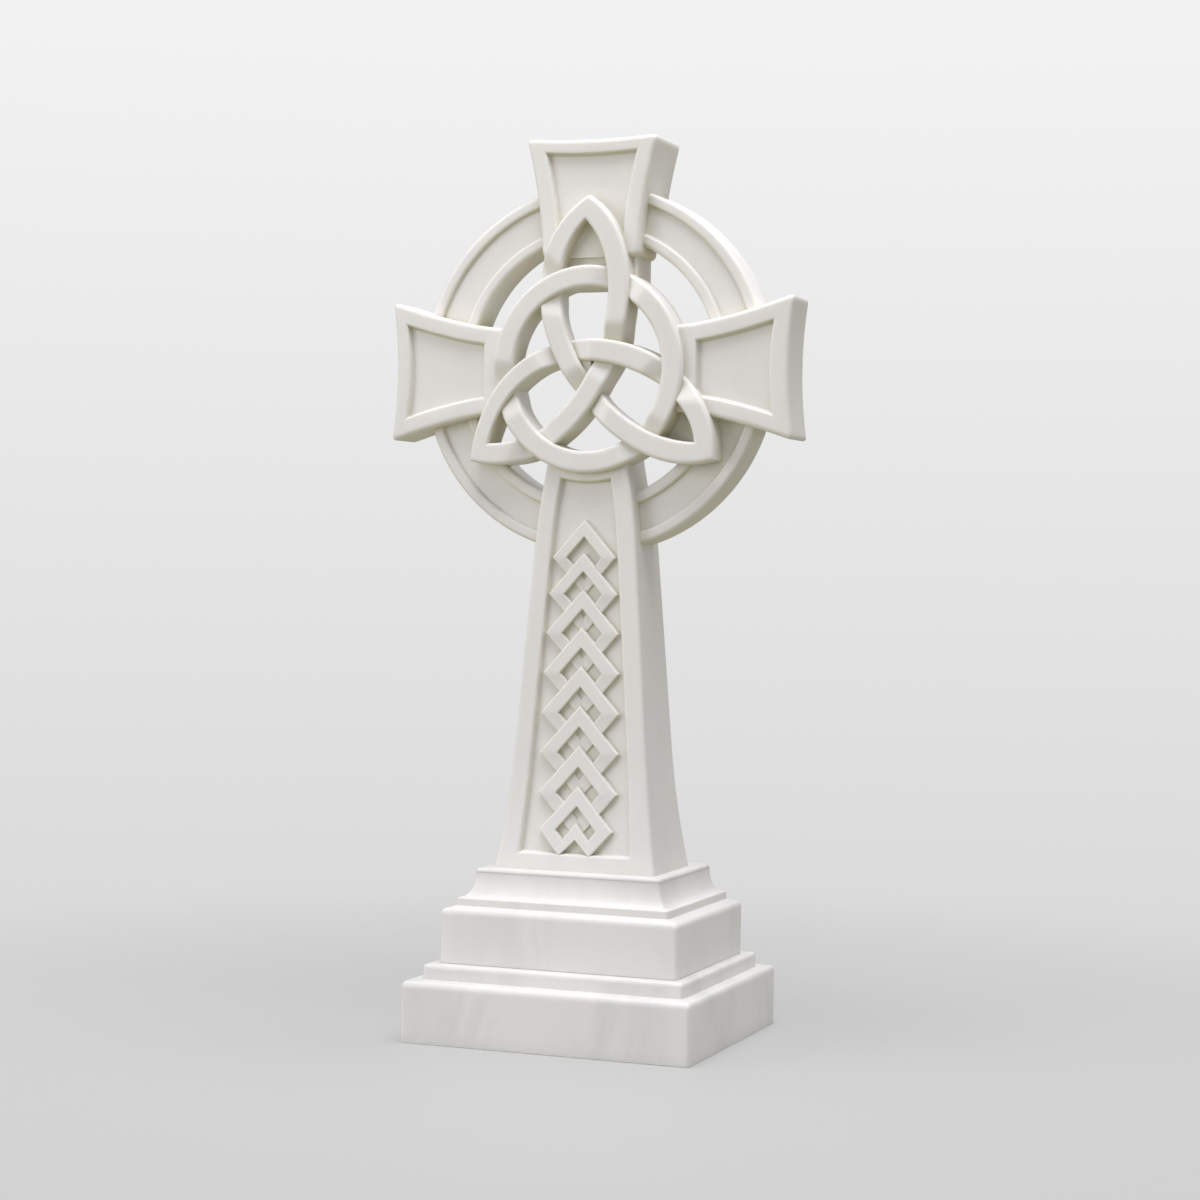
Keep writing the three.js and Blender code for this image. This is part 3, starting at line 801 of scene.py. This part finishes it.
@dataclass
class Knot:
    """Three arched strands with pointed tips, woven with a circle."""

    hub: Hub
    front: float = -56.0
    shift: float = 1.5
    circle_depth: float = 42.0
    strand_depths: tuple[float, float, float] = (44.0, 48.0, 26.0)
    depth_change: float = 40.0
    dip: float = 10.0
    circle_dip: float = 8.0
    dip_level: float = 8.0
    dip_reach: float = 42.0
    edge: float = 5.5
    width: float = 31.0
    steps: int = 110
    circle_steps: int = 240
    tip_outer: tuple[tuple[float, float], ...] = ((0.0, 230.0), (-167.0, -122.0), (180.0, -120.0))
    tip_inner: tuple[tuple[float, float], ...] = ((-4.0, 197.0), (-140.0, -98.0), (152.0, -97.0))
    pulls_outer: tuple[tuple[tuple[float, float], ...], ...] = (
        ((131.0, 149.0), (26.0, -170.0)), ((-137.0, 128.0), (191.0, 59.0)), ((27.0, -172.0), (-179.0, 121.0)))
    pulls_inner: tuple[tuple[tuple[float, float], ...], ...] = (
        ((75.0, 116.0), (4.0, -101.0)), ((-91.0, 84.0), (144.0, 5.0)), ((11.0, -95.0), (-98.0, 104.0)))

    def strands(self) -> list[Strand]:
        """The strands from the top tip to the left, from there to the right, and back to the top."""
        edges = [[np.array([tips[k], *pulls[k], tips[(k + 1) % 3]]) for k in range(3)]
                 for tips, pulls in ((self.tip_outer, self.pulls_outer), (self.tip_inner, self.pulls_inner))]
        return [Strand(outer, inner) for outer, inner in zip(*edges)]

    def height(self, along: np.ndarray, dips: Sequence[tuple[float, float]], length: float) -> np.ndarray:
        """Depth of a strand's front: level, but lower round each place where it passes under.

        Args:
            along: Distances along the strand.
            dips: Where it passes under, and how far it is sunk there.
            length: The loop's whole length, because it closes on itself.

        Returns:
            Depths of the front.
        """
        where, deep = np.array(dips).T
        away = np.abs((along[:, None] - where[None, :] + length / 2) % length - length / 2)
        s = np.clip((away - self.dip_level) / (self.dip_reach - self.dip_level), 0, 1)
        return self.front + ((1 - s * s * (3 - 2 * s)) * deep).max(axis=1)

    def circle_meetings(self, strand: Strand) -> np.ndarray:
        """Shares of a strand at which its middle line crosses the circle's."""
        t = np.linspace(0.02, 0.98, 2000)
        round_one = strand.middle(t) / (self.hub.circle_wide, self.hub.circle_tall)
        side = np.sign(np.linalg.norm(round_one, axis=1) - 1)
        return t[1:][side[1:] != side[:-1]]

    @staticmethod
    def meeting(one: Strand, other: Strand) -> float:
        """Share of one strand at which it crosses another near the middle of the knot."""
        t = np.linspace(0.2, 0.8, 700)
        gap = np.linalg.norm(one.middle(t)[:, None] - other.middle(t)[None, :], axis=2).min(axis=1)
        return float(t[gap.argmin()])

    def arches(self) -> Shape:
        """The three strands as one band that closes on itself, with a mitre at each tip."""
        strands = self.strands()
        t = np.linspace(0, 1, self.steps, endpoint=False)
        outer, inner, along, dips, depths, start = [], [], [], [], [], 0.0
        for k, strand in enumerate(strands):
            a, b = strand.edges(t)
            middle = strand.middle(np.linspace(0, 1, 400))
            length = float(np.linalg.norm(np.diff(middle, axis=0), axis=1).sum())
            outer.append(a)
            inner.append(b)
            along.append(start + t * length)
            dips.append((start + self.meeting(strand, strands[(k + 1) % 3]) * length, self.dip))
            dips.append((start + float(self.circle_meetings(strand)[-1]) * length, self.circle_dip))
            own, before, after = (self.strand_depths[(k + step) % 3] for step in (0, -1, 1))
            depths.append(np.interp(t * length, [0, self.depth_change, length - self.depth_change, length],
                                    [(own + before) / 2, own, own, (own + after) / 2]))
            start += length
        front = self.height(np.concatenate(along), dips, start)[:, None]
        back = front + np.concatenate(depths)[:, None]
        band, aside = Band(self.width, min(self.strand_depths), self.edge), (self.shift, 0.0)
        return band.shape(np.concatenate(outer) + aside, np.concatenate(inner) + aside,
                          lambda z: front + z * 0, lambda z: back + z * 0)

    def circle(self) -> Shape:
        """The circle strand, which dips under each arched strand where that one first meets it."""
        turn = np.linspace(0, 2 * math.pi, self.circle_steps, endpoint=False)
        ray = np.stack([np.cos(turn), np.sin(turn)], axis=1)
        size, half = np.array([self.hub.circle_wide, self.hub.circle_tall]), self.hub.circle_half
        starts = [s.middle(self.circle_meetings(s)[:1])[0] / size for s in self.strands()]
        dips = [(math.atan2(z, x) % (2 * math.pi) * size[1], self.circle_dip) for x, z in starts]
        front = self.height(turn * size[1], dips, 2 * math.pi * size[1])[:, None]
        band = Band(2 * half, self.circle_depth, self.edge)
        aside = (self.shift, 0.0)
        return band.shape(ray * (size + half) + aside, ray * (size - half) + aside, lambda z: front + z * 0,
                          lambda z: front + z * 0 + self.circle_depth)


@dataclass
class LozengeChain:
    """The chain of lozenges on the shaft's panel, each lapping over the one above it."""

    shaft: Shaft
    count: int = 8
    top: float = 691.0
    foot_lap: float = 2.3
    spread: float = 1.07
    half: float = 55.5
    first_half: float = 44.5
    last_half: float = 51.5
    slope: float = 1.13
    strip_share: float = 0.445
    drop: float = 7.2
    last_foot: float = 21.5
    root: float = 2.0
    edge: float = 2.0
    steps: int = 12

    def sizes(self, k: int) -> tuple[float, float, float]:
        """Half width, apex height and corner height of one lozenge."""
        early = max(0.0, 1 - k / 5) ** 2
        half = self.last_half if k == self.count - 1 else self.half - (self.half - self.first_half) * early
        foot = self.shaft.hub.foot + self.shaft.foot_border - self.foot_lap
        last = foot + self.slope * (2 * self.last_half - self.last_foot)
        apex = self.top - (self.top - last) * (k / (self.count - 1)) ** self.spread
        return half, apex, apex - self.slope * half

    def lozenge(self, k: int) -> Shape:
        """One lozenge: a band carried round its corners, lowest at its bottom tip.

        Args:
            k: Its number from the top.

        Returns:
            The shape.
        """
        half, apex, corner = self.sizes(k)
        strip = self.strip_share * half
        rise = strip * self.slope
        near = half - strip
        if k < self.count - 1:
            tip = 2 * corner - apex
            outer = [(-half, corner), (0, apex), (half, corner), (0, tip)]
            inner = [(-near, corner), (0, apex - rise), (near, corner), (0, tip + rise)]
            drops = [0.0, 0.0, 0.0, self.drop]
        else:
            foot = corner - (half - self.last_foot) * self.slope
            notch = foot + self.last_foot
            step_x, step_z = self.last_foot * 0.86, foot + rise * 0.8
            outer = [(-half, corner), (0, apex), (half, corner), (self.last_foot, foot), (0, notch),
                     (-self.last_foot, foot)]
            inner = [(-near, corner), (0, apex - rise), (near, corner), (step_x, step_z),
                     (0, notch + rise * 0.87), (-step_x, step_z)]
            drops = [0.0] * 6
        t = np.linspace(0, 1, self.steps, endpoint=False)[None, :, None]
        lines = []
        for line in (np.array(outer, dtype=float), np.array(inner, dtype=float), np.array(drops)[:, None]):
            after = np.roll(line, -1, axis=0)
            lines.append((line[:, None] + (after - line)[:, None] * t).reshape(-1, line.shape[1]))
        lines[0][:, 0] += self.shaft.panel_shift
        lines[1][:, 0] += self.shaft.panel_shift
        strip_width = strip * self.slope / math.hypot(1.0, self.slope)
        sunk = self.shaft.hub.panel_sink + self.root
        band = Band(strip_width, sunk, self.edge, kept=5.0)
        depth = self.shaft.half_depth
        return band.shape(lines[0], lines[1], lambda z: lines[2] - depth(z), lambda z: sunk - depth(z))


@dataclass
class Cross:
    """The whole cross, one carving: shaft, arms, ring and knot."""

    hub: Hub = field(default_factory=Hub)
    neck_half: float = 62.0
    neck_front: float = -31.0
    neck_top: float = 156.0
    web_middle: tuple[float, float] = (-10.0, 7.0)
    web_half: float = 15.0
    web_depths: tuple[float, float] = (-46.0, -12.0)
    eye_front: float = -20.0
    eye_plan: tuple[tuple[float, float], ...] = (
        (98.0, -50.0), (164.0, -50.0), (170.0, -80.0), (150.0, -108.0), (104.0, -118.0))
    behind: float = 120.0
    disc_steps: int = 240

    def arms(self) -> list[Arm]:
        """Both side arms and the top arm."""
        side = dict(root=119.0, start=123.5, root_half=57.5, end_half=95.5, flare=1.5, sag=7.5,
                    border=23.5, panel_start=151.0, back=23.0)
        top = dict(root=149.0, start=149.0, reach=309.0, root_half=68.7, end_half=93.3, flare=1.7, sag=4.0,
                   border=23.0, end_border=20.0, panel_start=140.0, back=50.0)
        return [Arm(self.hub, Direction.RIGHT, reach=285.0, end_border=28.0, **side),
                Arm(self.hub, Direction.LEFT, reach=287.5, end_border=22.0, **side),
                Arm(self.hub, Direction.UP, **top)]

    def disc(self, middle: tuple[float, float], radius: float, front: float, back: float) -> Shape:
        """A round slab in the hub's plane, from one depth to another."""
        angle = np.linspace(0, 2 * math.pi, self.disc_steps, endpoint=False)
        loop = np.stack([np.cos(angle), 0 * angle, np.sin(angle)], axis=1) * radius
        loop += (middle[0], 0.0, middle[1])
        return ring_stack(np.stack([loop + (0, y, 0) for y in (front, back)]))

    def neck(self, ring: Ring) -> Shape:
        """The recessed neck between the circle and the top arm."""
        corners = [(-self.neck_half, self.neck_front), (self.neck_half, self.neck_front),
                   (self.neck_half, ring.half_depth), (-self.neck_half, ring.half_depth)]
        section = softened(corners, [4.0, 4.0, 2.0, 2.0])
        low, high = self.hub.circle_tall - self.hub.hidden_lap, self.neck_top
        return ring_stack(np.stack([np.insert(section, 2, z, axis=1) for z in (low, high)]))

    def eye_floor(self, ring: Ring) -> Shape:
        """The stone behind the right tip's eye, which isn't cut through."""
        plan = np.array(self.eye_plan)
        levels = (self.eye_front, ring.half_depth)
        return ring_stack(np.stack([np.insert(plan, 1, y, axis=1) for y in levels]))

    def build(self, material: bpy.types.Material) -> None:
        """Join the parts into one carving and dress it.

        Args:
            material: Its finish.
        """
        ring, knot, shaft = Ring(), Knot(self.hub), Shaft(self.hub)
        up = np.array([0.0, 0.0, self.hub.height])
        body = shaft.shape().mesh("shaft")
        chain = LozengeChain(shaft)
        for k in range(chain.count):
            body = joined(body, chain.lozenge(k).mesh("lozenge"), Join.ADD)
        for arm in self.arms():
            piece = joined(arm.block().mesh("arm"), arm.panel().mesh("arm_panel"), Join.CUT)
            piece.transform(lift(up))
            body = joined(body, piece, Join.ADD)
        hub_back = self.disc(ring.middle, ring.inner, ring.half_depth, self.behind)
        web = self.disc(self.web_middle, self.web_half, *self.web_depths)
        centred = [(hub_back, Join.CUT), (self.neck(ring), Join.ADD), (ring.shape(), Join.ADD),
                   (self.eye_floor(ring), Join.ADD), (web, Join.ADD), (knot.circle(), Join.ADD),
                   (knot.arches(), Join.ADD)]
        for shape, how in centred:
            shape.points = shape.points + up
            body = joined(body, shape.mesh("part"), how)
        body.transform(lift(np.array([0.0, -self.hub.forward, 0.0])))
        dressed("cross_carving", body, material, "cross", "cross_marble")


def lift(by: np.ndarray) -> Matrix:
    """A move in metres by a distance in millimetres."""
    return Matrix.Translation(tuple(by * MM))


@dataclass
class Studio:
    """Camera, floor and soft light."""

    position: tuple[float, float, float] = (1.2728, -3.2786, 0.6356)
    turn: float = 21.187
    tilt: float = 0.835
    roll: float = 0.883
    focal: float = 2609.7
    picture: float = 1200.0
    sensor: float = 36.0
    floor_radius: float = 6.0
    floor_steps: int = 96
    aim: tuple[float, float, float] = (0.0, 0.0, 0.6)

    def camera(self) -> None:
        """Place the camera: turned about z, tilted down a little and rolled a little."""
        turn, tilt, roll = (math.radians(a) for a in (self.turn, self.tilt, self.roll))
        right = np.array([math.cos(turn), math.sin(turn), 0.0])
        level = np.array([-math.sin(turn), math.cos(turn), 0.0])
        ahead = level * math.cos(tilt) - np.array([0.0, 0.0, math.sin(tilt)])
        up = np.cross(right, ahead)
        across = right * math.cos(roll) + up * math.sin(roll)
        upright = up * math.cos(roll) - right * math.sin(roll)
        data = bpy.data.cameras.new("camera")
        data.sensor_fit = "HORIZONTAL"
        data.sensor_width = self.sensor
        data.lens = self.focal / self.picture * self.sensor
        data.clip_end = 60.0
        camera = bpy.data.objects.new("camera", data)
        bpy.context.scene.collection.objects.link(camera)
        rows = np.stack([across, upright, -ahead], axis=1)
        upper = [[*row, place] for row, place in zip(rows.tolist(), self.position)]
        camera.matrix_world = Matrix([*upper, [0.0, 0.0, 0.0, 1.0]])
        bpy.context.scene.camera = camera

    def floor(self) -> None:
        """A pale round floor that fades into the backdrop at its rim."""
        angle = np.linspace(0, 2 * math.pi, self.floor_steps, endpoint=False)
        points = np.stack([np.cos(angle), np.sin(angle), 0 * angle], axis=1) * self.floor_radius
        mesh = bpy.data.meshes.new("floor")
        mesh.from_pydata(points.tolist(), [], [list(range(self.floor_steps))])
        material = bpy.data.materials.new("pale_floor")
        tree = Tree(material)
        place = tree.add("TexCoord").outputs["Object"]
        distance = tree.add("VectorMath", {0: place}, operation="LENGTH").outputs["Value"]
        fade = tree.mapped(distance, (0.3, 1.7), (0.75, 0.0), interpolation_type="SMOOTHSTEP")
        tree.fill(tree.nodes["Principled BSDF"], {
            "Base Color": (0.53, 0.53, 0.53, 1.0), "Roughness": 0.55, "Alpha": fade})
        mesh.materials.append(material)
        floor = bpy.data.objects.new("floor", mesh)
        bpy.context.scene.collection.objects.link(floor)

    def backdrop(self) -> None:
        """A soft grey world, seen darker downwards, that lights white from above and warm from below."""
        world = bpy.data.worlds.new("backdrop")
        bpy.context.scene.world = world
        tree = Tree(world)
        direction = tree.add("TexCoord").outputs["Generated"]
        upward = tree.add("SeparateXYZ", {"Vector": direction}).outputs["Z"]
        grey = tree.mapped(upward, (-0.24, 0.20), (0.64, 0.89))
        seen = tree.fill(tree.nodes["Background"], {"Color": grey})
        above = tree.mapped(upward, (-0.35, 0.25))
        tone = tree.mixed(above, (0.78, 0.75, 0.56, 1.0), (0.98, 0.985, 1.0, 1.0))
        light = tree.add("Background", {"Color": tone, "Strength": 0.45})
        to_camera = tree.add("LightPath").outputs["Is Camera Ray"]
        mix = tree.add("MixShader", {
            0: to_camera, 1: light.outputs["Background"], 2: seen.outputs["Background"]})
        tree.fill(tree.nodes["World Output"], {"Surface": mix.outputs["Shader"]})

    def lamp(self, name: str, place: tuple[float, float, float], size: float, power: float) -> None:
        """A square soft light aimed at the middle of the cross.

        Args:
            name: Its name.
            place: Where it hangs, in metres.
            size: Its width, in metres.
            power: Its power, in watts.
        """
        data = bpy.data.lights.new(name, "AREA")
        data.shape = "SQUARE"
        data.size = size
        data.energy = power
        lamp = bpy.data.objects.new(name, data)
        bpy.context.scene.collection.objects.link(lamp)
        lamp.location = place
        aim = Vector(self.aim) - lamp.location
        lamp.rotation_euler = aim.to_track_quat("-Z", "Y").to_euler()

    def build(self) -> None:
        """Set up the whole studio."""
        view = bpy.context.scene.view_settings
        view.view_transform = "Standard"
        view.look = "None"
        self.camera()
        self.floor()
        self.backdrop()
        self.lamp("overhead", (0.4, -0.4, 3.6), 2.4, 110.0)
        self.lamp("left_front", (-2.8, -2.8, 1.4), 2.2, 43.0)


def main() -> None:
    """Build the studio and the three stones, and report each."""
    logging.basicConfig(level=logging.INFO, format="%(message)s")
    Studio().build()
    stone = Marble("cross_marble").material()
    # The plinths get a cooler white and a cooler painted crease shade than the cross.
    cool = dict(white=(0.865, 0.845, 0.84), painted_crease_shade=(0.71, 0.695, 0.66))
    upper = Marble("upper_plinth_marble", offset=(3.1, 0.4, 1.2), cloud_share=0.6, **cool).material()
    lower = Marble("lower_plinth_marble", offset=(7.3, 2.2, 4.9), cloud_share=0.75, **cool).material()
    LowerPlinth("lower_plinth", "lower_plinth_marble", 402.0, 360.0).build(lower)
    UpperPlinth("upper_plinth", "upper_plinth_marble", 333.0, 268.0).build(upper)
    Cross().build(stone)


if __name__ == "__main__":
    main()
